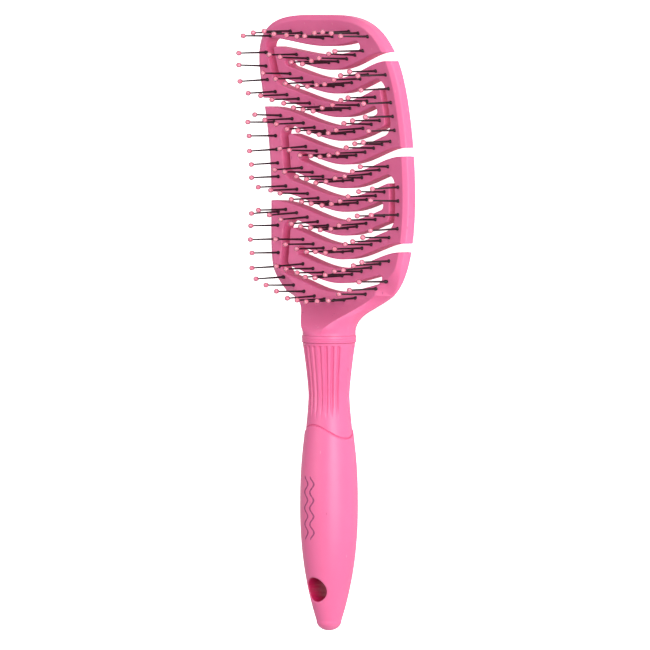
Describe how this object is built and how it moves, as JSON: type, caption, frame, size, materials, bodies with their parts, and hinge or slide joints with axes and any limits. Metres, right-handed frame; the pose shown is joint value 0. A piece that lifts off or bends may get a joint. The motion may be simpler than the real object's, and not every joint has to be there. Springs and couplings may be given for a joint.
{
  "type": "vented detangling hair brush",
  "caption": "Vented detangling hair brush: flexible head with wavy slots, long ball-tipped pins, fluted waist and a round grip with a hanging hole.",
  "frame": {"origin": "centre of the hanging hole, on the axis of the handle", "axes": "+X from the handle towards the head, +Z the way the pins point, Y across the brush"},
  "size_m": [0.24, 0.075, 0.0358],
  "materials": {
    "moulded_pink": "satin moulded plastic with fine straw specks",
    "nylon_black": "drawn nylon, satin",
    "dipped_resin": "dipped, clear and glossy"
  },
  "bodies": {
    "root": {"head_frame": "moulded_pink", "pin_plate": "moulded_pink", "neck_ring": "moulded_pink", "fluted_sleeve": "moulded_pink", "grip": "moulded_pink", "pins_top": "nylon_black", "pins_rib_1": "nylon_black", "pins_rib_2": "nylon_black", "pins_rib_3": "nylon_black", "pins_rib_4": "nylon_black", "pins_rib_5": "nylon_black", "pins_rib_6": "nylon_black", "pins_rib_7": "nylon_black", "pins_rib_8": "nylon_black", "pins_rib_9": "nylon_black", "pins_rib_10": "nylon_black", "pins_low": "nylon_black", "pins_side_left": "nylon_black", "pins_side_right": "nylon_black", "tips_top": "dipped_resin", "tips_rib_1": "dipped_resin", "tips_rib_2": "dipped_resin", "tips_rib_3": "dipped_resin", "tips_rib_4": "dipped_resin", "tips_rib_5": "dipped_resin", "tips_rib_6": "dipped_resin", "tips_rib_7": "dipped_resin", "tips_rib_8": "dipped_resin", "tips_rib_9": "dipped_resin", "tips_rib_10": "dipped_resin", "tips_low": "dipped_resin", "tips_side_left": "dipped_resin", "tips_side_right": "dipped_resin"}
  },
  "joints": []
}
